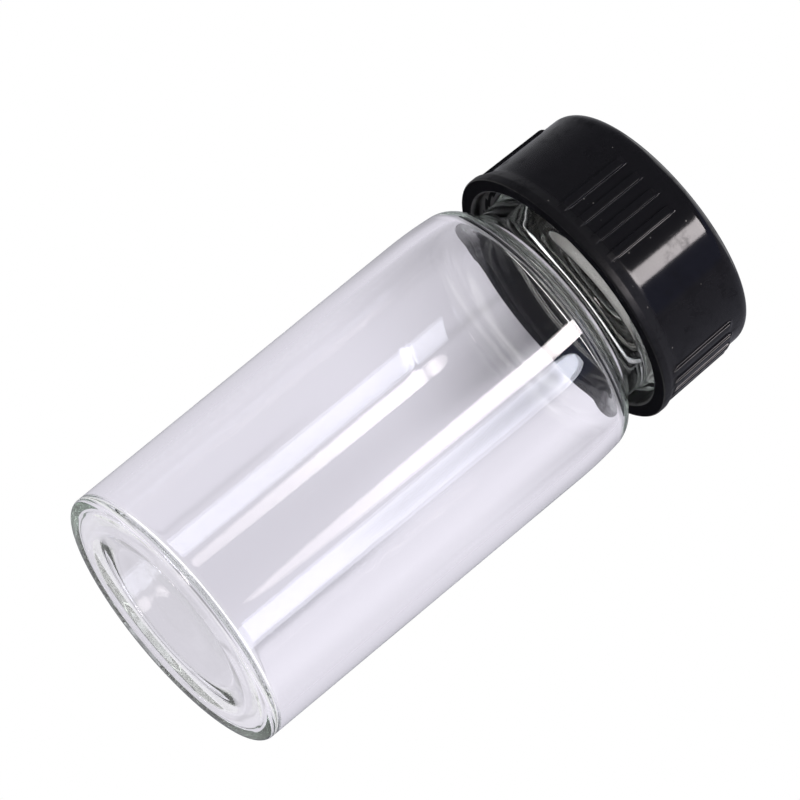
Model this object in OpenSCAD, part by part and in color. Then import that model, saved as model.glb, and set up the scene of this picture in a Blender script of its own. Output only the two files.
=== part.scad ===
// Clear glass sample vial with a black ribbed screw cap and a sealing liner.
// Millimetres. The vial stands upright on its resting ring: origin at the
// middle of the base, +Z along the axis towards the cap.

/* [Glass barrel] */
// Outer diameter of the straight barrel
body_d = 27.5; // [26.6:0.1:27.8]
// Height of the glass, from the resting ring to the lip
glass_h = 57; // [50:1:80]
// Thickness of the barrel wall
wall_t = 1.2; // [0.9:0.1:1.4]

/* [Base] */
// Outer diameter of the flat ring that the vial rests on
rest_outer_d = 24.8; // [24:0.1:25.2]
// Inner diameter of that ring
rest_inner_d = 20.6; // [19:0.1:22]
// Height of the corner between the ring's slope and the wall
heel_h = 0.25; // [0.1:0.05:0.5]
// Radius of that corner
heel_r = 0.6; // [0.4:0.1:0.9]
// Diameter at which the slope inside the ring eases into the pushed-up middle
punt_d = 16; // [14:0.5:17]
// Height of the underside there
punt_h = 0.7; // [0.4:0.05:0.8]
// Rise of the underside from there to the axis
punt_rise = 0.17; // [0.1:0.01:0.3]
// Height of the floor at the wall
floor_h = 1.15; // [1:0.05:1.6]
// Rise of the floor from there to the axis
floor_rise = 0.45; // [0.3:0.05:0.6]
// Radius between the floor and the wall
corner_r = 0.5; // [0.3:0.1:1]

/* [Glass shoulder and neck] */
// Distance from the lip down to the foot of the neck
finish_h = 9.8; // [9.4:0.1:10.4]
// Outer diameter of the neck, under the thread
neck_d = 21.4; // [21.2:0.1:21.5]
// Diameter of the bore through the neck
bore_d = 18.4; // [17.6:0.1:18.8]
// Radius of the tight bend at the top of the shoulder
shoulder_r = 2.5; // [2.2:0.1:2.8]
// Radius of the slow bend from the barrel into the shoulder
flank_r = 40; // [36:1:46]
// Angle that the slow bend turns through
flank_angle = 6.8; // [6:0.2:7.6]
// Radius of the hollow between the shoulder and the neck
neck_fillet = 2; // [1.6:0.1:2.4]
// Radius on the edges of the lip
lip_r = 0.5; // [0.3:0.1:0.6]

/* [Screw thread] */
// Rise of the thread in one turn, 8 threads to the inch
thread_pitch = 3.175; // [3.175]
// Height of the glass thread over the neck
glass_thread_depth = 1.05; // [0.9:0.05:1.1]
// Turns that the glass thread runs for, its two tapers included
glass_thread_turns = 1.75; // [1.3:0.05:1.8]
// Turns that the cap's thread runs for, its two tapers included
cap_thread_turns = 1.3; // [1:0.1:1.6]
// Air left between the two threads where they bear on each other
thread_gap = 0.1; // [0.08:0.02:0.2]

/* [Cap] */
// Height of the cap over all
cap_h = 11.8; // [11.6:0.1:12]
// Thickness of the cap's top
cap_top_t = 1.8; // [1.4:0.1:2]
// Outer diameter of the bead round the cap's mouth
bead_d = 27.4; // [27.2:0.1:27.6]
// Height of the bead's straight band
bead_h = 0.85; // [0.7:0.05:1]
// Height over which the bead eases into the skirt
bead_ease = 1.1; // [0.8:0.1:1.4]
// Outer diameter of the skirt, carried down to the mouth
skirt_d = 26.5; // [26.4:0.1:26.8]
// Draft of the skirt on each side, in degrees
skirt_draft = 1.2; // [0.6:0.2:1.6]
// Radius round the top edge of the cap
cap_edge_r = 1.5; // [1:0.1:1.6]
// Diameter of the cap's bore, between its threads
cap_bore_d = 24.2; // [24.1:0.1:24.4]

/* [Grip ribs] */
// Groups of ribs round the cap
rib_groups = 4; // [2:1:6]
// Ribs in one group
ribs_per_group = 4; // [3:1:5]
// Angle from one rib to the next, in degrees
rib_pitch = 9.25; // [8:0.25:10]
// Width of a rib
rib_w = 0.86; // [0.6:0.02:1.1]
// Height of a rib over the skirt
rib_h = 0.27; // [0.15:0.02:0.35]

/* [Liner] */
// Thickness of the sealing disc
liner_t = 1.4; // [1.2:0.1:1.5]
// Diameter of the sealing disc
liner_d = 23.6; // [23:0.1:23.8]

/* [Hidden] */
$fn = 96;
body_r = body_d / 2;
neck_r = neck_d / 2;
bore_r = bore_d / 2;

// The bends of the shoulder meet tangent to each other. Each inner bend shares
// its centre with the outer one where the wall keeps its thickness.
flank_in_r = flank_r - wall_t;
bend_in_r = shoulder_r - wall_t;
neck_wall = neck_r - bore_r;
fillet_in_r = neck_fillet + neck_wall - 0.2;
bend_reach = flank_r - shoulder_r;
bend_r = body_r - flank_r + bend_reach * cos(flank_angle);
fillet_r = neck_r + neck_fillet;
meet_angle = acos((fillet_r - bend_r) / (shoulder_r + neck_fillet));
foot_z = glass_h - finish_h;
bend_z = foot_z - (shoulder_r + neck_fillet) * sin(meet_angle);
flank_z = bend_z - bend_reach * sin(flank_angle);
fillet_in_c = bore_r + fillet_in_r;
meet_in_angle = acos((fillet_in_c - bend_r) / (bend_in_r + fillet_in_r));
foot_in_z = bend_z + (bend_in_r + fillet_in_r) * sin(meet_in_angle);

// The base: heights on the axis, and the radii out to which its middle is flat.
floor_r = body_r - wall_t;
punt_mid = punt_h + punt_rise;
floor_mid = floor_h + floor_rise;
punt_flat = 3;
floor_flat = 4;
middle_bend = 45;

// The cap sits on the liner, and the liner on the lip.
liner_z = glass_h;
cap_in_z = liner_z + liner_t;
cap_top_z = cap_in_z + cap_top_t;
rim_z = cap_top_z - cap_h;
bead_r = bead_d / 2;
skirt_r = skirt_d / 2;
cap_bore_r = cap_bore_d / 2;
bead_top = rim_z + bead_h;
ease_z = bead_top + bead_ease;
rim_chamfer = 0.35;
skirt_top_r = skirt_r - cap_h * tan(skirt_draft);
rib_foot_z = bead_top + 0.2;
rib_top_z = cap_top_z - 2.7;
rib_end_ramp = 0.35;

// Threads: half widths at the foot and the crest, and the point on the helix
// that everything is measured from, over the -Y side of the vial.
crest_r = neck_r + glass_thread_depth;
glass_thread_foot = 1.05;
glass_thread_crest = 0.35;
cap_thread_foot = 0.85;
cap_thread_crest = 0.32;
cap_thread_r = crest_r - 0.75;
thread_sink = 0.35;
thread_taper = 40;
ring_step = 9;
glass_thread_z = glass_h - 7.75;
glass_thread_start = -40;
cap_thread_offset = glass_thread_foot * 0.75 + cap_thread_crest + thread_gap;
cap_thread_start = 198;

// The first rib group's middle, as the cap stands when it is screwed home.
rib_turn = -104.6;

glass_tint = [0.86, 0.89, 0.9, 0.45];
cap_black = [0.08, 0.08, 0.09];
liner_white = [0.93, 0.92, 0.88];

// Points on an arc about c, from angle a to angle b, in n steps
function arc(c, r, a, b, n) =
    [for (i = [0:n]) c + r * [cos(a + (b - a) * i / n), sin(a + (b - a) * i / n)]];

function unit(v) = v / norm(v);

// Points round a corner b, on the way from a to c: an arc of radius r that
// touches both sides
function bend(a, b, c, r) =
    let (u = unit(a - b), v = unit(c - b), half = acos(u * v) / 2,
         centre = b + unit(u + v) * r / sin(half),
         p = b + u * r / tan(half) - centre,
         q = b + v * r / tan(half) - centre,
         start = atan2(p[1], p[0]),
         turn = atan2(q[1], q[0]) - start,
         sweep = turn > 180 ? turn - 360 : turn < -180 ? turn + 360 : turn)
    arc(centre, r, start, start + sweep, max(2, ceil(abs(sweep) / 13)));

// A line past corners [radius, height, bend], each rounded by its own bend.
// The first and the last corner only say where it comes from and goes to.
function bent(corners) =
    let (at = [for (c = corners) [c[0], c[1]]])
    [for (i = [1:len(corners) - 2]) each bend(at[i - 1], at[i], at[i + 1], corners[i][2])];

function reversed(points) = [for (i = [len(points) - 1:-1:0]) points[i]];

// How far a thread stands out at an angle, as a share of its full height: it
// rises out of the wall over the first taper and sinks into it over the last
function swell(a, whole) =
    let (t = min(1, min(a, whole - a) / thread_taper))
    1.25 * sin(90 * t) - 0.25;

// One section of a thread, in radius and height: two flanks and a rounded
// crest. A positive depth stands out from the wall, a negative one stands in.
function section(wall_r, depth, foot, crest, grown) =
    let (sink = depth > 0 ? -thread_sink : thread_sink,
         top = depth * grown,
         half = crest + (foot - crest) * 0.4)
    [[wall_r + sink, -foot * 1.2],
     [wall_r + top * 0.6 + sink * 0.1, -half],
     [wall_r + top, -crest * 0.5],
     [wall_r + top, crest * 0.5],
     [wall_r + top * 0.6 + sink * 0.1, half],
     [wall_r + sink, foot * 1.2]];

// A thread: the section carried along a right-hand helix about +Z.
// start and whole are angles, and z is the helix's height at angle 0.
module thread(wall_r, depth, foot, crest, z, start, whole) {
    steps = ceil(whole / ring_step);
    rings = [for (i = [0:steps])
        let (a = whole * i / steps, turn = start + a)
        [for (p = section(wall_r, depth, foot, crest, swell(a, whole)))
            [p[0] * cos(turn - 90), p[0] * sin(turn - 90),
             z + thread_pitch * turn / 360 + p[1]]]];
    n = len(rings[0]);
    points = [for (ring = rings) each ring];
    sides = [for (i = [0:steps - 1], j = [0:n - 1])
        let (k = (j + 1) % n, a = i * n + j, b = i * n + k)
        each [[a, a + n, b + n], [a, b + n, b]]];
    first_end = [for (j = [1:n - 2]) [0, j, j + 1]];
    last = steps * n;
    last_end = [for (j = [1:n - 2]) [last, last + j + 1, last + j]];
    faces = concat(sides, first_end, last_end);
    polyhedron(points, depth > 0 ? [for (f = faces) reversed(f)] : faces);
}

// Outside of the glass, from the middle of the base up to the lip
function glass_outside() = concat(
    [[0, punt_mid]],
    bent([[0, punt_mid], [punt_flat, punt_mid, middle_bend], [punt_d / 2, punt_h, 3],
          [rest_inner_d / 2, 0, 2], [rest_outer_d / 2, 0, 1.5], [body_r, heel_h, heel_r],
          [body_r, glass_h]]),
    arc([body_r - flank_r, flank_z], flank_r, 0, flank_angle, 6),
    arc([bend_r, bend_z], shoulder_r, flank_angle, meet_angle, 10),
    arc([fillet_r, foot_z], neck_fillet, meet_angle - 180, -180, 6),
    arc([neck_r - lip_r, glass_h - lip_r], lip_r, 0, 90, 5));

// Inside of the glass, from the lip down to the middle of the floor
function glass_inside() = concat(
    arc([bore_r + lip_r, glass_h - lip_r], lip_r, 90, 180, 5),
    reversed(arc([fillet_in_c, foot_in_z], fillet_in_r, meet_in_angle - 180, -180, 7)),
    reversed(arc([bend_r, bend_z], bend_in_r, flank_angle, meet_in_angle, 7)),
    reversed(arc([body_r - flank_r, flank_z], flank_in_r, 0, flank_angle, 6)),
    bent([[floor_r, glass_h], [floor_r, floor_h, corner_r],
          [floor_flat, floor_mid, middle_bend], [0, floor_mid]]),
    [[0, floor_mid]]);

// The vial: barrel, pushed-up base, shoulder, neck and its outside
// thread, all one piece of glass
module glass_vial() {
    color(glass_tint) union() {
        rotate_extrude() polygon(concat(glass_outside(), glass_inside()));
        thread(neck_r, glass_thread_depth, glass_thread_foot, glass_thread_crest,
               glass_thread_z, glass_thread_start, glass_thread_turns * 360);
    }
}

// Outside of the cap, from the bead's inner edge up to the middle of the top
function cap_outside() = concat(
    [[cap_bore_r + rim_chamfer, rim_z]],
    bent([[0, rim_z], [bead_r, rim_z, 0.25], [bead_r, bead_top, 0.6],
          [skirt_r - (ease_z - rim_z) * tan(skirt_draft), ease_z, 1.5],
          [skirt_top_r, cap_top_z, cap_edge_r], [0, cap_top_z]]),
    [[0, cap_top_z]]);

// Inside of the cap, from the middle of its roof down to the mouth
function cap_inside() = concat(
    [[0, cap_in_z]],
    arc([cap_bore_r - 0.3, cap_in_z - 0.3], 0.3, 90, 0, 3),
    [[cap_bore_r, rim_z + rim_chamfer]]);

// Outline of one rib, seen from the side: it follows the skirt's draft and
// ramps down at its upper end
function rib_outline() =
    let (low_r = skirt_r + rib_h, rise = rib_top_z - rib_foot_z,
         high_r = low_r - rise * tan(skirt_draft))
    [[cap_bore_r + 0.4, rib_foot_z - 0.3],
     [low_r, rib_foot_z - 0.3],
     [high_r, rib_top_z - rib_end_ramp],
     [high_r - rib_h * 0.4, rib_top_z],
     [cap_bore_r + 0.4, rib_top_z]];

// The thin radial slabs that cut the ribs out of their ring
module rib_slabs() {
    for (g = [0:rib_groups - 1], i = [0:ribs_per_group - 1])
        rotate(rib_turn + g * 360 / rib_groups + (i - (ribs_per_group - 1) / 2) * rib_pitch)
            translate([0, -rib_w / 2, rib_foot_z - 1])
                cube([bead_r + 1, rib_w, rib_top_z - rib_foot_z + 2]);
}

// The cap: top, skirt, bead, grip ribs and the thread inside
module screw_cap() {
    color(cap_black) union() {
        rotate_extrude() polygon(concat(cap_outside(), cap_inside()));
        intersection() {
            rotate_extrude() polygon(rib_outline());
            rib_slabs();
        }
        thread(cap_bore_r, cap_thread_r - cap_bore_r, cap_thread_foot, cap_thread_crest,
               glass_thread_z - cap_thread_offset, cap_thread_start, cap_thread_turns * 360);
    }
}

// The soft disc in the cap that seals on the lip
module cap_liner() {
    color(liner_white) translate([0, 0, liner_z]) cylinder(d = liner_d, h = liner_t);
}

glass_vial();
screw_cap();
cap_liner();
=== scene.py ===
"""Glass sample vial with a ribbed screw cap: the looks around its solid model."""

import math

import bpy
import numpy as np
from mathutils import Matrix, Vector


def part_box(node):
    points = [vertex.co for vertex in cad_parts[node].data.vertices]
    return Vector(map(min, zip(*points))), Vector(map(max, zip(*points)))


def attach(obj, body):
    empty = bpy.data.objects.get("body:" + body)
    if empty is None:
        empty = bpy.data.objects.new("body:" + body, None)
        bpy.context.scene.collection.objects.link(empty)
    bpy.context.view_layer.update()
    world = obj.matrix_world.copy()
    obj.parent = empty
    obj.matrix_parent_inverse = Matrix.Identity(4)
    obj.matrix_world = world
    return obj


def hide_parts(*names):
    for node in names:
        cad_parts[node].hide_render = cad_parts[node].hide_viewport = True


bl_info = {
    "name": "Glass sample vial",
    "version": (1, 0, 0),
    "blender": (4, 5, 0),
    "location": "View3D > Sidebar > Sample vial",
    "description": "Builds a clear glass screw-neck sample vial with its cap, liner and studio",
    "category": "Add Mesh",
}

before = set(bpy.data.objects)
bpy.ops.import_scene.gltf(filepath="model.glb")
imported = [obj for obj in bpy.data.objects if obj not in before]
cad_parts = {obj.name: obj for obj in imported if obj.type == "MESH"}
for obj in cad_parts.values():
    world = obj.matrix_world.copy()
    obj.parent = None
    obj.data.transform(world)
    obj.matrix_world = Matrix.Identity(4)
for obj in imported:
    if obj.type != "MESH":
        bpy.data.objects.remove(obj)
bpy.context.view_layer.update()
_, GLASS_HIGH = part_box("glass_vial")
CAP_LOW, CAP_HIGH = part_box("screw_cap")
LINER_LOW, LINER_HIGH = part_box("cap_liner")
MM = 0.001
QUARTER = math.pi / 2
TURN = 2 * math.pi


def length(name, description, default):
    """A size in metres, shown in the scene's own unit."""
    return bpy.props.FloatProperty(
        name=name, description=description, default=default, unit="LENGTH", precision=5
    )


def angle(name, description, degrees):
    return bpy.props.FloatProperty(
        name=name, description=description, default=math.radians(degrees), subtype="ANGLE"
    )


def number(name, description, default):
    return bpy.props.FloatProperty(name=name, description=description, default=default)


def count(name, description, default):
    return bpy.props.IntProperty(name=name, description=description, default=default)


def colour(name, description, default):
    return bpy.props.FloatVectorProperty(
        name=name, description=description, default=default, subtype="COLOR", min=0, max=1
    )


class GlassSizes(bpy.types.PropertyGroup):
    """Sizes of the one piece of glass, all seen in its section."""

    barrel_radius: length("Barrel radius", "Outer radius of the straight barrel", GLASS_HIGH.x)
    height: length("Height", "From the resting ring to the lip", GLASS_HIGH.z)
    wall: length("Wall", "Thickness of the barrel wall", 1.2 * MM)
    heel_height: length("Heel height", "Height of the corner between wall and base", 0.25 * MM)
    heel_radius: length("Heel radius", "Bend of that corner", 0.6 * MM)
    rest_outer: length("Rest outside", "Outer radius of the flat resting ring", 12.4 * MM)
    rest_inner: length("Rest inside", "Inner radius of the flat resting ring", 10.3 * MM)
    punt_radius: length("Punt radius", "Radius at which the slope under the base eases", 8 * MM)
    punt_height: length("Punt height", "Height of the underside there", 0.7 * MM)
    punt_middle: length("Punt middle", "Height of the underside on the axis", 0.87 * MM)
    floor_edge: length("Floor edge", "Height of the floor at the wall", 1.15 * MM)
    floor_bend: length("Floor bend", "Bend from the floor into the wall", 0.5 * MM)
    floor_middle: length("Floor middle", "Height of the floor on the axis", 1.6 * MM)
    neck_radius: length("Neck radius", "Outer radius of the neck under its thread", 10.7 * MM)
    bore_radius: length("Bore radius", "Radius of the bore through the neck", 9.2 * MM)
    finish_height: length("Finish height", "From the foot of the neck to the lip", 9.8 * MM)
    shoulder_radius: length("Shoulder radius", "Tight bend at the top of the shoulder", 2.5 * MM)
    flank_radius: length("Flank radius", "Slow bend from barrel to shoulder", 40 * MM)
    flank_angle: angle("Flank angle", "Angle that the slow bend turns through", 6.8)
    neck_fillet: length("Neck fillet", "Hollow between shoulder and neck", 2 * MM)
    inner_fillet: length("Inner fillet", "How far the hollow's bend is larger inside", 1.3 * MM)
    lip_radius: length("Lip radius", "Rounding on the edges of the lip", 0.5 * MM)
    ripple: length("Ripple", "Depth of the rings left where the shoulder was formed", 0.006 * MM)
    ripple_reach: length("Ripple reach", "How far up and down those rings go", 1.8 * MM)


class ThreadSizes(bpy.types.PropertyGroup):
    """Sizes of the screw thread, on the glass and in the cap."""

    pitch: length("Pitch", "Rise of the thread in one turn", 3.175 * MM)
    depth: length("Depth", "Height of the glass thread over the neck", 1.05 * MM)
    foot: length("Foot", "Half width of the glass thread where it leaves the neck", 1.15 * MM)
    crest: length("Crest", "Half width of the flat top of both threads", 0.2 * MM)
    middle: length("Middle", "Height of the glass helix over the -Y side", 49.25 * MM)
    glass_start: angle("Glass start", "Where the glass thread starts, from -Y", -40)
    glass_turns: number("Glass turns", "Turns that the glass thread runs for", 1.75)
    cap_start: angle("Cap start", "Where the cap's thread starts, from -Y", 198)
    cap_turns: number("Cap turns", "Turns that the cap's thread runs for", 1.3)
    cap_below: length("Cap below", "How far the cap's thread lies under the glass one", 1.2 * MM)
    cap_depth: length("Cap depth", "How far the cap's thread stands into its bore", 1.1 * MM)
    cap_foot: length("Cap foot", "Half width of the cap's thread at its bore", 0.95 * MM)
    taper: angle("Taper", "Angle over which a thread grows out of its wall", 40)


class CapSizes(bpy.types.PropertyGroup):
    """Sizes of the moulded cap."""

    top: length("Top", "Height of the cap's top over the bench", CAP_HIGH.z)
    height: length("Height", "Height of the cap over all", CAP_HIGH.z - CAP_LOW.z)
    roof: length("Roof", "Height of the underside of the top", LINER_HIGH.z)
    bead_radius: length("Bead radius", "Outer radius of the bead round the mouth", CAP_HIGH.x)
    bead_height: length("Bead height", "Height of that bead's straight band", 0.85 * MM)
    bead_ease: length("Bead ease", "Height over which the bead eases into the skirt", 1.1 * MM)
    skirt_radius: length("Skirt radius", "Outer radius of the skirt at the mouth", 13.25 * MM)
    draft: angle("Draft", "How far the skirt leans in on each side", 1.2)
    edge_radius: length("Edge radius", "Rounding of the top edge", 1.5 * MM)
    bore_radius: length("Bore radius", "Radius of the bore between its threads", 12.1 * MM)
    chamfer: length("Chamfer", "Rounding where the bore meets the rim", 0.35 * MM)
    rib_groups: count("Rib groups", "Groups of ribs round the cap", 4)
    group_ribs: count("Ribs in a group", "Ribs in one group", 4)
    rib_pitch: angle("Rib pitch", "Angle from one rib to the next", 9.25)
    rib_turn: angle("Rib turn", "Where the first group's middle stands, from +X", -104.6)
    rib_width: length("Rib width", "Width of one rib", 0.86 * MM)
    rib_height: length("Rib height", "How far a rib stands out", 0.27 * MM)
    rib_top: length("Rib top", "From the cap's top down to the ribs", 2.7 * MM)
    rib_slope: length("Rib slope", "Width of the slope on a rib's sides", 0.09 * MM)


class Finishes(bpy.types.PropertyGroup):
    """Colours of the finishes, and what light does in the glass."""

    glass_tint: colour("Glass tint", "Colour of light through the glass's surface", (1.0, 1.0, 1.0))
    depth_tint: colour("Depth tint", "Colour that the glass takes with depth", (0.84, 0.89, 0.85))
    depth_density: number("Depth density", "How fast the glass takes that colour, per metre", 25)
    glass_ior: number("Glass index", "Refractive index of the glass", 1.48)
    cap_black: colour("Cap black", "Colour of the cap's plastic", (0.0075, 0.0075, 0.009))
    cap_haze: number("Cap haze", "Roughness of the clean cap", 0.05)
    dust: colour("Dust", "Colour of the dust specks", (0.55, 0.53, 0.5))
    liner: colour("Liner", "Colour of the liner's foam", (0.62, 0.61, 0.58))


class StageSettings(bpy.types.PropertyGroup):
    """Camera, floor and lights, as in the photograph."""

    focal_length: number("Focal length", "Camera lens in mm, on a 36 mm sensor", 315)
    distance: length("Distance", "Depth of the base's middle in front of the camera", 0.62825)
    tilt: angle("Tilt", "How far the camera looks up at the vial", 17.3)
    roll: angle("Roll", "Angle of the vial's axis over the picture's lower edge", 39.44)
    base_x: number("Base x", "Pixel column of the base's middle, in a frame of 800", 168)
    base_y: number("Base y", "Pixel row of the base's middle, in a frame of 800", 624)
    floor_colour: colour("Floor", "Colour of the floor", (0.86, 0.86, 0.87))
    backdrop: colour("Backdrop", "What the glass shows through itself", (0.93, 0.90, 1.0))


GROUPS = {
    "vial_glass": GlassSizes,
    "vial_thread": ThreadSizes,
    "vial_cap": CapSizes,
    "vial_finish": Finishes,
    "vial_stage": StageSettings,
}


# Shader expressions

class Term:
    """A node socket that can be added, multiplied and compared in Python.

    Each operator adds one Math node to the same tree and returns its result."""

    def __init__(self, shader, socket):
        self.shader = shader
        self.socket = socket

    def math(self, operation, *values):
        return self.shader.node("Math", {"operation": operation}, *values)

    def __add__(self, other):
        return self.math("ADD", self, other)

    __radd__ = __add__

    def __mul__(self, other):
        return self.math("MULTIPLY", self, other)

    __rmul__ = __mul__

    def __sub__(self, other):
        return self.math("SUBTRACT", self, other)

    def __rsub__(self, other):
        return self.math("SUBTRACT", other, self)

    def __truediv__(self, other):
        return self.math("DIVIDE", self, other)

    def over(self, edge):
        """1 where the value is above the edge, else 0."""
        return self.math("GREATER_THAN", self, edge)

    def least(self, other):
        return self.math("MINIMUM", self, other)

    def most(self, other):
        return self.math("MAXIMUM", self, other)

    def size(self):
        return self.math("ABSOLUTE", self)


class Shader:
    """A material's or the world's node tree, with one way to add any node."""

    def __init__(self, owner):
        owner.use_nodes = True
        self.tree = owner.node_tree
        self.tree.nodes.clear()

    def node(self, kind, settings=None, *values, out=0, **named):
        """Adds a node of a kind, sets its settings, then its inputs by order or by name."""
        made = self.tree.nodes.new("ShaderNode" + kind)
        for key, value in (settings or {}).items():
            if key == "stops":
                for stop, (place, shade) in zip(self.stops(made, len(value)), value):
                    stop.position = place
                    stop.color = (*shade, 1) if len(shade) == 3 else shade
            else:
                setattr(made, key, value)
        for key, value in [*enumerate(values), *named.items()]:
            self.feed(made.inputs[key.replace("_", " ") if isinstance(key, str) else key], value)
        return Term(self, made.outputs[out]) if made.outputs else None

    def feed(self, target, value):
        if isinstance(value, Term):
            self.tree.links.new(value.socket, target)
        elif value is not None:
            target.default_value = value

    @staticmethod
    def stops(ramp, count):
        elements = ramp.color_ramp.elements
        while len(elements) < count:
            elements.new(1)
        return elements

    def mix(self, factor, a, b):
        """Colour a where the factor is 0 and b where it is 1."""
        made = self.tree.nodes.new("ShaderNodeMix")
        made.data_type = "RGBA"
        self.feed(made.inputs[0], factor)
        self.feed(made.inputs[6], a if isinstance(a, Term) else (*a, 1))
        self.feed(made.inputs[7], b if isinstance(b, Term) else (*b, 1))
        return Term(self, made.outputs[2])

    def multiply(self, a, b):
        """Two colours multiplied."""
        return self.node("VectorMath", {"operation": "MULTIPLY"}, a, b)

    def bell(self, value, width):
        """exp(-(value / width)^2)."""
        part = value / width
        return part.math("EXPONENT", -1 * part * part)

    def ease(self, value, start, end):
        """0 at start, 1 at end, smooth between them."""
        settings = {"interpolation_type": "SMOOTHSTEP"}
        return self.node("MapRange", settings, value, start, end, 0.0, 1.0)

    def place(self):
        """The point on the piece, in metres."""
        return self.node("TexCoord", out="Object")

    def grey(self, value):
        """A grey colour from one number."""
        return self.node("CombineXYZ", None, value, value, value)

    def axes(self, vector):
        """The x, y and z of a vector."""
        split = self.node("SeparateXYZ", None, vector)
        return [Term(self, socket) for socket in split.socket.node.outputs]

    def rays(self):
        """For camera, glossy and transmission in turn, 1 where the ray is of that kind, else 0."""
        outputs = self.node("LightPath").socket.node.outputs
        kinds = ("Camera", "Glossy", "Transmission")
        return [Term(self, outputs[f"Is {kind} Ray"]) for kind in kinds]


# Colours of what the gloss mirrors of the room, by degrees from the front (-Y) towards +X
ROOM = [
    (-180, (0.3, 0.3, 0.33)), (-152, (0.36, 0.36, 0.38)), (-136, (0.24, 0.24, 0.26)),
    (-100, (0.12, 0.12, 0.14)), (-45, (0.07, 0.07, 0.08)), (0, (0.03, 0.03, 0.035)),
    (27, (0.03, 0.03, 0.035)), (30, (0.12, 0.15, 0.34)), (58, (0.12, 0.15, 0.34)),
    (62, (0.25, 0.24, 0.3)), (100, (0.3, 0.3, 0.36)), (138, (0.24, 0.24, 0.28)),
    (158, (0.22, 0.22, 0.25)), (180, (0.3, 0.3, 0.33)),
]

# Colours of what shows through the glass, by how far a ray heads back (+Y), from -1 to 1
THROUGH = [
    (-1, (0.36, 0.36, 0.4)), (-0.35, (0.36, 0.36, 0.4)), (-0.05, (0.45, 0.45, 0.47)),
    (0.2, (0.9, 0.9, 0.9)), (0.5, (1, 1, 1)),
]

# Soft bands of painted shade behind the glass, in place of the shadow of the vial and its cap:
# place and width in degrees to the right of the vial's middle, how dark a band is, and how much
# darker it grows towards the cap
PAINTED_SHADE_BANDS = [
    (0.2, 3.0, 0.18, 0.3), (-7.5, 3.0, 0.09, 0.12), (1.05, 0.9, 0.0, 0.18),
    (3.25, 0.33, 0.28, 0.25), (-2.75, 0.22, 0.1, 0.0),
]

# Plain colours of the room and its light
FLOORWARD = (0.82, 0.82, 0.84)
CEILING = (0.2, 0.2, 0.2)
EVEN_LIGHT = (0.6, 0.6, 0.62)
WHITE = (1, 1, 1)
BLACK = (0, 0, 0)


# Surfaces

def arc(centre, radius, start, end, count):
    """Points on a circle about centre: centre + radius (cos t, sin t), t from start to end."""
    t = np.linspace(start, end, count)
    return np.stack([centre[0] + radius * np.cos(t), centre[1] + radius * np.sin(t)], axis=1)


def line(a, b, count):
    """Points from a to b, both ends left out."""
    return np.linspace(a, b, count + 2)[1:-1]


def bent(corners, finest=0.13 * MM, longest=0.6 * MM):
    """Line through corners (r, z, bend), those between its ends rounded by arcs of that bend.

    The arc lies bend / tan(half) along each side, half being half of the corner's angle. Points
    stand no further apart than finest on arcs and longest on straight parts."""
    place = np.array(corners)[:, :2]
    parts = [place[:1]]
    for before, here, after, bend in zip(place, place[1:], place[2:], np.array(corners)[1:, 2]):
        one, two = [(end - here) / np.hypot(*(end - here)) for end in (before, after)]
        half = math.acos(one @ two) / 2
        centre = here + (one + two) / np.hypot(*(one + two)) * bend / math.sin(half)
        first, last = [here + side * bend / math.tan(half) - centre for side in (one, two)]
        start = math.atan2(first[1], first[0])
        sweep = (math.atan2(last[1], last[0]) - start + math.pi) % TURN - math.pi
        parts.append(arc(centre, bend, start, start + sweep, 4 + int(abs(sweep) * bend / finest)))
    path = np.concatenate([*parts, place[-1:]])
    steps = np.hypot(*np.diff(path, axis=0).T)
    filled = []
    for a, b, step in zip(path, path[1:], steps):
        filled += [a[None], line(a, b, int(step / longest))]
    return np.concatenate([*filled, path[-1:]])


def revolve(name, outline, turns, relief=None):
    """Closed surface of revolution about +Z: (r cos v, r sin v, z) for each outline point
    (r, z) and angle v, plus relief(r, z, v) added to r. The outline starts and ends on the axis."""
    ring = outline[1:-1]
    r, z = ring[:, :1], ring[:, 1:]
    v = np.asarray(turns)[None, :]
    grown = r + (relief(r, z, v) if relief else 0 * v)
    grid = np.stack([grown * np.cos(v), grown * np.sin(v), z + 0 * v], axis=2)
    rows, columns = grid.shape[:2]
    poles = np.array([[0, 0, outline[0, 1]], [0, 0, outline[-1, 1]]])
    points = np.concatenate([grid.reshape(-1, 3), poles])
    place = np.arange(rows * columns).reshape(rows, columns)
    after = np.roll(place, -1, axis=1)
    quads = np.stack([place[:-1], after[:-1], after[1:], place[1:]], axis=2).reshape(-1, 4)
    first, last = rows * columns, rows * columns + 1
    fans = [
        np.stack([np.full(columns, first), after[0], place[0]], axis=1),
        np.stack([np.full(columns, last), place[-1], after[-1]], axis=1),
    ]
    mesh = bpy.data.meshes.new(name)
    mesh.from_pydata(points, [], quads.tolist() + np.concatenate(fans).tolist())
    mesh.shade_smooth()
    mesh.update()
    piece = bpy.data.objects.new(name, mesh)
    bpy.context.scene.collection.objects.link(piece)
    return piece


def smooth(t):
    """0 below 0, 1 above 1, and 3t^2 - 2t^3 between."""
    t = np.clip(t, 0, 1)
    return t * t * (3 - 2 * t)


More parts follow.
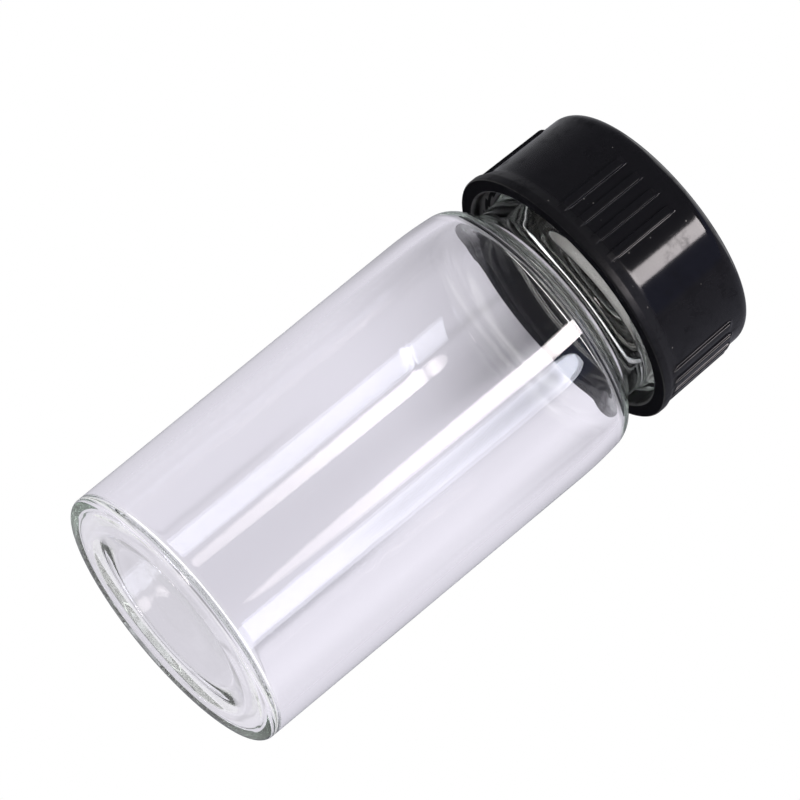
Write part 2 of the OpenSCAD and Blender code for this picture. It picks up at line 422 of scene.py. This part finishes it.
def thread_relief(z, v, t, middle, start, turns, depth, foot):
    """Height of a right-hand thread at height z and angle v from +X.

    The helix stands at middle + pitch (v + 90 degrees) / 360. On each of its turns the height is
    depth where z is within the crest's half width of it, falls smoothly to 0 at foot, and grows
    from 0 over the taper at both ends. The turns never overlap, so the highest one counts."""
    whole = turns * TURN
    first = (v + QUARTER - start) % TURN
    height = 0 * z * v
    for lap in range(math.ceil(turns)):
        run = first + lap * TURN
        off = np.abs(z - middle - t.pitch * (start + run) / TURN)
        grown = smooth(run / t.taper) * smooth((whole - run) / t.taper)
        height = np.maximum(height, depth * grown * smooth((foot - off) / (foot - t.crest)))
    return height


def glass_outline(g):
    """The glass in section, from the middle of the base out, up, over the lip and down inside.

    Straight lines and arcs that meet tangent to each other, as in the solid model."""
    reach = g.flank_radius - g.shoulder_radius
    bend_r = g.barrel_radius - g.flank_radius + reach * math.cos(g.flank_angle)
    fillet_r = g.neck_radius + g.neck_fillet
    joined = g.shoulder_radius + g.neck_fillet
    meet = math.acos((fillet_r - bend_r) / joined)
    foot = g.height - g.finish_height
    bend_z = foot - joined * math.sin(meet)
    flank_z = bend_z - reach * math.sin(g.flank_angle)
    flank = (g.barrel_radius - g.flank_radius, flank_z)
    inner_bend = g.shoulder_radius - g.wall
    inner_fillet = g.neck_fillet + g.inner_fillet
    inner_c = g.bore_radius + inner_fillet
    inner_meet = math.acos((inner_c - bend_r) / (inner_bend + inner_fillet))
    inner_foot = bend_z + (inner_bend + inner_fillet) * math.sin(inner_meet)
    low = 3 * MM
    dome = 45 * MM
    under = bent([
        (0, g.punt_middle, 0), (3 * MM, g.punt_middle, dome),
        (g.punt_radius, g.punt_height, 3 * MM), (g.rest_inner, 0, 2 * MM),
        (g.rest_outer, 0, 1.5 * MM), (g.barrel_radius, g.heel_height, g.heel_radius),
        (g.barrel_radius, low, 0),
    ])
    inside = g.barrel_radius - g.wall
    floor = bent([
        (inside, low, 0), (inside, g.floor_edge, g.floor_bend),
        (4 * MM, g.floor_middle, dome), (0, g.floor_middle, 0),
    ])
    lip = g.height - g.lip_radius
    return np.concatenate([
        under,
        line((g.barrel_radius, low), (g.barrel_radius, flank_z), 6),
        arc(flank, g.flank_radius, 0, g.flank_angle, 14),
        arc((bend_r, bend_z), g.shoulder_radius, g.flank_angle, meet, 22)[1:],
        arc((fillet_r, foot), g.neck_fillet, meet - math.pi, -math.pi, 12)[1:],
        line((g.neck_radius, foot), (g.neck_radius, lip), 96),
        arc((g.neck_radius - g.lip_radius, lip), g.lip_radius, 0, QUARTER, 9),
        arc((g.bore_radius + g.lip_radius, lip), g.lip_radius, QUARTER, math.pi, 9),
        line((g.bore_radius, lip), (g.bore_radius, inner_foot), 4),
        arc((inner_c, inner_foot), inner_fillet, -math.pi, inner_meet - math.pi, 14),
        arc((bend_r, bend_z), inner_bend, inner_meet, g.flank_angle, 14)[1:],
        arc(flank, g.flank_radius - g.wall, g.flank_angle, 0, 10)[1:],
        line((inside, flank_z), (inside, low), 6),
        floor,
    ])


def make_glass(g, t):
    """The glass: its section turned about +Z, with the thread and faint forming rings on it."""
    foot = g.height - g.finish_height
    hair = 0.01 * MM

    def relief(r, z, v):
        on_neck = (r > g.neck_radius - hair) & (z > foot - 0.5 * MM)
        thread = thread_relief(z, v, t, t.middle, t.glass_start, t.glass_turns, t.depth, t.foot)
        near = np.exp(-(((z - foot + 1 * MM) / g.ripple_reach) ** 2))
        wander = 1.7 * np.sin(v + z / (2 * MM))
        rings = g.ripple * near * np.sin(z / (0.19 * MM) + wander)
        return on_neck * thread + rings

    turns = np.linspace(0, TURN, 288, endpoint=False)
    return revolve("vial_body", glass_outline(g), turns, relief)


def cap_outline(c):
    """The cap in section, from the middle of its roof out, down the bore, round the rim and bead,
    up the skirt and over the top edge to the middle of the top."""
    rim = c.top - c.height
    lean = math.tan(c.draft)
    eased = rim + c.bead_height + c.bead_ease
    return np.concatenate([
        bent([(0, c.roof, 0), (c.bore_radius, c.roof, 0.3 * MM), (c.bore_radius, c.roof - MM, 0)]),
        line((c.bore_radius, c.roof - MM), (c.bore_radius, rim + c.chamfer), 78),
        arc((c.bore_radius + c.chamfer, rim + c.chamfer), c.chamfer, 2 * QUARTER, 3 * QUARTER, 6),
        bent([
            (c.bore_radius + 1.5 * c.chamfer, rim, 0), (c.bead_radius, rim, 0.25 * MM),
            (c.bead_radius, rim + c.bead_height, 0.6 * MM),
            (c.skirt_radius - (eased - rim) * lean, eased, 1.5 * MM),
            (c.skirt_radius - c.height * lean, c.top, c.edge_radius), (0, c.top, 0),
        ], longest=0.25 * MM),
    ])


def make_cap(c, t):
    """The cap: its section turned about +Z, with the ribs outside and the thread inside."""
    rim = c.top - c.height
    groups = c.rib_turn + np.arange(c.rib_groups) * TURN / c.rib_groups
    places = (np.arange(c.group_ribs) - (c.group_ribs - 1) / 2) * c.rib_pitch
    ribs = (groups[:, None] + places[None, :]).ravel()
    half = c.rib_width / 2 / c.skirt_radius
    soft = c.rib_slope / c.skirt_radius
    hair = 0.01 * MM

    def relief(r, z, v):
        off = np.abs((v[..., None] - ribs + math.pi) % TURN - math.pi).min(axis=-1)
        across = smooth((half - off) / soft + 0.5)
        along = smooth((c.top - c.rib_top - z) / (0.35 * MM))
        skirt = c.skirt_radius - (z - rim) * math.tan(c.draft)
        face = np.maximum(r, skirt + c.rib_height * across) - r
        above = (z > rim + c.bead_height - 0.2 * MM) & (z < c.top - c.edge_radius)
        outside = above & (r > c.skirt_radius - 0.5 * MM)
        inside = (r < c.bore_radius + hair) & (r > c.bore_radius - hair)
        thread = thread_relief(z, v, t, t.middle - t.cap_below, t.cap_start, t.cap_turns,
                               t.cap_depth, t.cap_foot)
        return outside * face * along - inside * thread

    edges = ribs[:, None] + np.array([-1, 1])[None, :] * half
    steps = np.linspace(-1, 1, 5) * soft * 0.75
    fine = (edges[..., None] + steps).ravel() % TURN
    even = np.linspace(0, TURN, 180, endpoint=False)
    turns = np.unique(np.round(np.concatenate([fine, even]), 5))
    return revolve("screw_cap_moulding", cap_outline(c), turns, relief)


def make_liner():
    """The liner: a disc with a small round on both edges."""
    radius, low, high = LINER_HIGH.x, LINER_LOW.z, LINER_HIGH.z
    edge = 0.12 * MM
    outline = np.concatenate([
        [[0, low]], line((0, low), (radius - edge, low), 6),
        arc((radius - edge, low + edge), edge, -QUARTER, 0, 5),
        arc((radius - edge, high - edge), edge, 0, QUARTER, 5),
        line((radius - edge, high), (0, high), 6), [[0, high]],
    ])
    return revolve("liner_disc", outline, np.linspace(0, TURN, 120, endpoint=False))


# Finishes

def glass_finish(f):
    """Clear glass, with a faint waviness left from drawing the tube."""
    material = bpy.data.materials.new("clear_glass")
    s = Shader(material)
    wave = s.node("TexNoise", {"noise_dimensions": "3D"}, Vector=s.place(), Scale=160.0, Detail=1.0)
    bump = s.node("Bump", None, Strength=0.02, Distance=0.4 * MM, Height=wave)
    body = s.node("BsdfPrincipled", None, Base_Color=(*f.glass_tint, 1), Roughness=0.0,
                  IOR=f.glass_ior, Transmission_Weight=1.0, Normal=bump)
    depth = s.node("VolumeAbsorption", None, Color=(*f.depth_tint, 1), Density=f.depth_density)
    s.node("OutputMaterial", None, Surface=body, Volume=depth)
    return material


def cap_finish(f):
    """Gloss black plastic, a little rough near the mouth, satin on top and dull under the rim.

    Finger smudges dull the gloss in patches, and there are a few specks of dust."""
    material = bpy.data.materials.new("gloss_black_plastic")
    s = Shader(material)
    place = s.place()
    smear = s.node("TexNoise", None, Vector=place, Scale=240.0, Detail=4.0, Roughness=0.6)
    specks = s.node("TexVoronoi", {"feature": "F1"}, Vector=place, Scale=900.0)
    rare = s.node("TexNoise", None, Vector=place, Scale=410.0, Detail=0.0)
    dust = (1 - specks.over(0.075)) * rare.over(0.60) * 0.2
    up = s.axes(s.node("NewGeometry", out="True Normal"))[2]
    under = (-1 * up).over(0.9)
    top = s.ease(up, 0.95, 0.99)
    height = s.axes(place)[2]
    mouth = 0.3 * s.ease(height, CAP_LOW.z + 2.4 * MM, CAP_LOW.z + 1.6 * MM)
    smudge = s.node("TexNoise", None, Vector=place, Scale=420.0, Detail=8.0, Roughness=0.75)
    touched = s.ease(smudge, 0.5, 0.66)
    haze = f.cap_haze + 0.08 * smear + 0.5 * dust + mouth + 0.25 * top
    grain = s.node("TexNoise", None, Vector=place, Scale=900.0, Detail=2.0)
    bump = s.node("Bump", None, Strength=0.03, Distance=0.05 * MM, Height=grain)
    gloss = s.node("BsdfPrincipled", None, Base_Color=s.mix(dust, f.cap_black, f.dust),
                   Roughness=haze, IOR=1.5, Specular_IOR_Level=0.25, Normal=bump)
    dull = s.node("BsdfDiffuse", None, Color=(*f.cap_black, 1))
    dulled = under.most((0.7 * top).most(0.5 * touched))
    s.node("OutputMaterial", None, Surface=s.node("MixShader", None, dulled, gloss, dull))
    return material


def liner_finish(f):
    """Closed-cell foam with a smooth skin and fine pores."""
    material = bpy.data.materials.new("liner_foam")
    s = Shader(material)
    pores = s.node("TexVoronoi", {"feature": "F1"}, Vector=s.place(), Scale=2600.0)
    shade = s.mix(pores, tuple(0.85 * c for c in f.liner), tuple(f.liner))
    bump = s.node("Bump", None, Strength=0.25, Distance=0.05 * MM, Height=pores)
    body = s.node("BsdfPrincipled", None, Base_Color=shade, Roughness=0.75, Normal=bump)
    s.node("OutputMaterial", None, Surface=body)
    return material


def floor_finish(stage):
    """The floor from above; nothing at all from below, where the photograph's camera is.

    Gloss and glass see past it to the room, as they do in the photograph."""
    material = bpy.data.materials.new("stage_floor")
    s = Shader(material)
    camera, glossy, through = s.rays()
    matt = s.node("BsdfDiffuse", None, Color=(*stage.floor_colour, 1))
    lit = s.node("Emission", None, Color=(1, 1, 1, 1), Strength=1.0)
    seen = s.node("MixShader", None, 0.45 * camera, matt, lit)
    past = s.node("NewGeometry", out="Backfacing").most(glossy.most(through))
    clear = s.node("BsdfTransparent")
    s.node("OutputMaterial", None, Surface=s.node("MixShader", None, past, seen, clear))
    return material


# Stage

def painted_shade_behind(s, across, unit, upper):
    """Painted shade behind the glass, in place of the shadow that the vial and its cap cast there:
    the bands, more shade to the left and shade at both far sides.

    Unit is the length in across that stands for a degree, and upper, from 0 to 1, brings in the
    painted shadow that grows towards the cap."""
    left = 0.16 - 0.16 * s.ease(across, -2 * unit, 4 * unit)
    far = 0.1 * s.ease(across.size(), 6 * unit, 15 * unit)
    shade = left * (0.25 + 1.2 * upper) + far * (1 + 2.5 * upper)
    # Painted shade: each band darkens what shows behind the glass
    for place, width, depth, growth in PAINTED_SHADE_BANDS:
        shade = shade + s.bell(across - place * unit, width * unit) * (depth + growth * upper)
    return 1 - shade


def painted_shadow_sheet_finish(stage):
    """A card right behind the vial that glows with painted shade in place of the shadow of the vial
    and its cap, which only the upper part of the glass shows.

    Its painted shadow grows towards the cap, and it fades out before its borders."""
    material = bpy.data.materials.new("stage_painted_shadow_sheet")
    s = Shader(material)
    x, _, z = s.axes(s.place())
    wide = x.size()
    squeezed = 0.42 * (s.ease(wide, 9 * MM, 14 * MM) - s.ease(wide, 0.0, 9 * MM))
    # Painted shadow: the card darkens towards the cap
    dim = painted_shade_behind(s, (x / MM) * (1 + squeezed), 1.25, s.ease(z, 31 * MM, 50 * MM))
    glow = s.node("Emission", None, Color=s.mix(dim, BLACK, tuple(stage.backdrop)), Strength=1.0)
    ends = s.ease(z, 18 * MM, 30 * MM) * s.ease(z, 64 * MM, 57 * MM)
    shown = ends * s.ease(wide, 24 * MM, 15 * MM)
    clear = s.node("BsdfTransparent")
    s.node("OutputMaterial", None, Surface=s.node("MixShader", None, shown, clear, glow))
    return material


def shown_through(s, stage, x, y, z):
    """What the glass shows along a direction: pale with the soft bands of painted shade behind it,
    the floor's white a little below, brighter ground far below, and grey above."""
    # Painted shade: the soft bands behind the glass
    dim = painted_shade_behind(s, x.math("ARCTAN2", x, y) / math.radians(1), 1.0, 0)
    stops = {"stops": [((1 + depth) / 2, shade) for depth, shade in THROUGH]}
    table = s.node("ValToRGB", stops, 0.5 * y + 0.5)
    shown = s.multiply(s.mix(dim, BLACK, tuple(stage.backdrop)), table)
    floorward = s.ease(z, -0.02, -0.12) * s.ease(y, 0.5, 0.1)
    below = s.ease(z + 0.5 * y * y, -0.4, -0.75)
    above = 0.85 * s.ease(z, 0.38, 0.65)
    ground = s.grey(0.5 + 2.1 * s.ease(y, -0.55, -0.1))
    shown = s.mix(below, s.mix(floorward, shown, FLOORWARD), ground)
    return s.mix(above, shown, CEILING)


def mirrored_room(s, x, y, z):
    """What the gloss mirrors along a direction: the room's colours level and above, and dark
    ground below, with some light at the back and far down."""
    bearing = x.math("ARCTAN2", x, -1 * y) / TURN + 0.5
    stops = {"stops": [(0.5 + degrees / 360, shade) for degrees, shade in ROOM]}
    table = s.node("ValToRGB", stops, bearing)
    back = 0.45 * s.ease(y, 0.2, 0.7)
    deep = 0.5 * s.ease(z, -0.35, -0.65) * s.ease(y, -0.1, 0.3)
    return s.mix(s.ease(z, 0.0, -0.15), table, s.grey(0.05 + back + deep))


def world_light(stage):
    """The room, by the kind of ray: white to the camera, pale with bands of painted shade through
    the glass, the dark room in the gloss, and an even grey for all other light."""
    world = bpy.data.worlds.new("studio")
    bpy.context.scene.world = world
    s = Shader(world)
    x, y, z = s.axes(s.node("TexCoord", out="Generated"))
    camera, glossy, through = s.rays()
    light = s.mix(glossy, EVEN_LIGHT, mirrored_room(s, x, y, z))
    light = s.mix(through, light, shown_through(s, stage, x, y, z))
    light = s.mix(camera, light, WHITE)
    s.node("OutputWorld", None, Surface=s.node("Background", None, Color=light, Strength=1.0))


def window(lamp, low_bend, high_bend, dimmest, rise, start, end):
    """Makes a lamp's face a window pane, with rounded corners and a dim lower part.

    The corners have one bend at the lower and one at the upper end. The brightness is dimmest up
    to start and grows with the square of the height from there, by rise in all, up to end. Start
    and end are parts of the pane's height."""
    data = lamp.data
    s = Shader(data)
    u, v, _ = s.axes(s.node("NewGeometry", out="Parametric"))
    bend = low_bend + (high_bend - low_bend) * v.over(0.5)
    sides = ((u, data.size), (v, data.size_y))
    beyond = [((part - 0.5).size() * side - side / 2 + bend).most(0.0) for part, side in sides]
    inside = (bend * bend).over(beyond[0] * beyond[0] + beyond[1] * beyond[1])
    grown = (v - start).most(0.0) / (end - start)
    strength = inside * (dimmest + rise * grown * grown).least(dimmest + rise)
    glow = s.node("Emission", None, Color=(*data.color, 1), Strength=strength)
    s.node("OutputLight", None, Surface=glow)
    data.color = WHITE


def panel(name, azimuth, elevation, distance, width, height, power, tone):
    """A flat lamp that faces the vial, azimuth degrees from -Y towards +X and elevation up."""
    a, e = math.radians(azimuth), math.radians(elevation)
    away = Vector((math.sin(a) * math.cos(e), -math.cos(a) * math.cos(e), math.sin(e)))
    data = bpy.data.lights.new(name, "AREA")
    data.shape = "RECTANGLE"
    data.size, data.size_y = width, height
    data.energy = power
    data.color = tone
    lamp = bpy.data.objects.new(name, data)
    lamp.location = Vector((0, 0, 30 * MM)) + away * distance
    lamp.rotation_euler = away.to_track_quat("Z", "Y").to_euler()
    lamp.visible_camera = False
    bpy.context.scene.collection.objects.link(lamp)
    return lamp


def card(name, corners, material):
    """A flat stage object with four corners."""
    mesh = bpy.data.meshes.new(name)
    mesh.from_pydata(corners, [], [(0, 1, 2, 3)])
    mesh.materials.append(material)
    made = bpy.data.objects.new(name, mesh)
    bpy.context.scene.collection.objects.link(made)
    return made


def camera_at(stage):
    """The photograph's camera, from where the base's middle falls in the picture.

    With the tilt p and the roll a, the view runs along (0, cos p, sin p), and the picture's right
    and up are the level +X and the slanted up turned so that the axis rises at a."""
    data = bpy.data.cameras.new("photo_camera")
    data.lens = stage.focal_length
    data.sensor_width = 36
    data.clip_start, data.clip_end = 0.01, 20
    p, a = stage.tilt, stage.roll
    ahead = Vector((0, math.cos(p), math.sin(p)))
    level, slant = Vector((1, 0, 0)), Vector((0, -math.sin(p), math.cos(p)))
    right = math.cos(a) * slant + math.sin(a) * level
    up = math.sin(a) * slant - math.cos(a) * level
    pixels = 800
    per_pixel = stage.distance * data.sensor_width / data.lens / pixels
    across = (stage.base_x - pixels / 2) * per_pixel
    above = (pixels / 2 - stage.base_y) * per_pixel
    place = -(across * right + above * up + stage.distance * ahead)
    camera = bpy.data.objects.new("photo_camera", data)
    turn = Matrix((right, up, -ahead)).transposed().to_4x4()
    camera.matrix_world = Matrix.Translation(place) @ turn
    bpy.context.scene.collection.objects.link(camera)
    bpy.context.scene.camera = camera


# Operators

class VIAL_OT_stage(bpy.types.Operator):
    """Sets up the camera, the room, the floor and the lamps"""

    bl_idname = "vial.stage"
    bl_label = "Stage"

    def execute(self, context):
        scene = context.scene
        stage = scene.vial_stage
        scene.view_settings.view_transform = "Standard"
        # Light runs along the glass wall in many small steps, so a path needs many bounces
        scene.cycles.max_bounces = 200
        scene.cycles.transmission_bounces = 200
        scene.cycles.glossy_bounces = 200
        scene.cycles.transparent_max_bounces = 16
        camera_at(stage)
        world_light(stage)
        side = 1.5
        corners = [(-side, -side, 0), (side, -side, 0), (side, side, 0), (-side, side, 0)]
        card("floor", corners, floor_finish(stage))
        # A glowing card with painted shadow behind the vial, seen through the glass alone
        wide, low, high = 30 * MM, 15 * MM, 70 * MM
        y = GLASS_HIGH.y + 0.4 * MM
        corners = [(-wide, y, low), (wide, y, low), (wide, y, high), (-wide, y, high)]
        painted_shadow_sheet = card("painted_shadow_sheet", corners, painted_shadow_sheet_finish(stage))
        painted_shadow_sheet.visible_camera = painted_shadow_sheet.visible_diffuse = False
        painted_shadow_sheet.visible_glossy = painted_shadow_sheet.visible_shadow = False
        left = panel("window_left_pane", 25, 25.3, 0.5, 0.105, 0.235, 1.8, (1.0, 0.93, 0.94))
        window(left, 50 * MM, 30 * MM, 0.12, 0.93, 0.0, 0.48)
        right = panel("window_right_pane", 45.5, 18.2, 0.5, 0.167, 0.173, 1.8, (0.86, 0.88, 1.0))
        window(right, 4 * MM, 60 * MM, 0.21, 0.34, 0.55, 0.72)
        panel("top_light", 180, 75, 0.8, 0.6, 0.6, 1.2, WHITE)
        return {"FINISHED"}


class VIAL_OT_glass(bpy.types.Operator):
    """Makes the glass vial"""

    bl_idname = "vial.glass"
    bl_label = "Glass vial"

    def execute(self, context):
        scene = context.scene
        piece = make_glass(scene.vial_glass, scene.vial_thread)
        piece.data.materials.append(glass_finish(scene.vial_finish))
        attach(piece, "vial")
        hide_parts("glass_vial")
        lit = bpy.data.collections.new("lit_by_right_pane")
        lit.objects.link(piece)
        bpy.data.objects["window_right_pane"].light_linking.receiver_collection = lit
        return {"FINISHED"}


class VIAL_OT_cap(bpy.types.Operator):
    """Makes the ribbed screw cap"""

    bl_idname = "vial.cap"
    bl_label = "Screw cap"

    def execute(self, context):
        scene = context.scene
        piece = make_cap(scene.vial_cap, scene.vial_thread)
        piece.data.materials.append(cap_finish(scene.vial_finish))
        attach(piece, "cap")
        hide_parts("screw_cap")
        return {"FINISHED"}


class VIAL_OT_liner(bpy.types.Operator):
    """Makes the sealing disc in the cap"""

    bl_idname = "vial.liner"
    bl_label = "Liner"

    def execute(self, context):
        piece = make_liner()
        piece.data.materials.append(liner_finish(context.scene.vial_finish))
        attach(piece, "liner")
        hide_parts("cap_liner")
        return {"FINISHED"}


OPERATORS = [VIAL_OT_stage, VIAL_OT_glass, VIAL_OT_cap, VIAL_OT_liner]


class VIAL_PT_panel(bpy.types.Panel):
    """The vial's operators and settings, in the 3D view's sidebar"""

    bl_idname = "VIAL_PT_panel"
    bl_label = "Sample vial"
    bl_space_type = "VIEW_3D"
    bl_region_type = "UI"
    bl_category = "Sample vial"

    def draw(self, context):
        for operator in OPERATORS:
            self.layout.operator(operator.bl_idname)
        for key, group in GROUPS.items():
            box = self.layout.box()
            for name in group.__annotations__:
                box.prop(getattr(context.scene, key), name)


def register():
    for item in [*GROUPS.values(), *OPERATORS, VIAL_PT_panel]:
        bpy.utils.register_class(item)
    for key, group in GROUPS.items():
        setattr(bpy.types.Scene, key, bpy.props.PointerProperty(type=group))


def unregister():
    for key in GROUPS:
        delattr(bpy.types.Scene, key)
    for item in [VIAL_PT_panel, *reversed(OPERATORS), *reversed(GROUPS.values())]:
        bpy.utils.unregister_class(item)


def main():
    register()
    bpy.ops.vial.stage()
    bpy.ops.vial.glass()
    bpy.ops.vial.cap()
    bpy.ops.vial.liner()


if __name__ == "__main__":
    main()
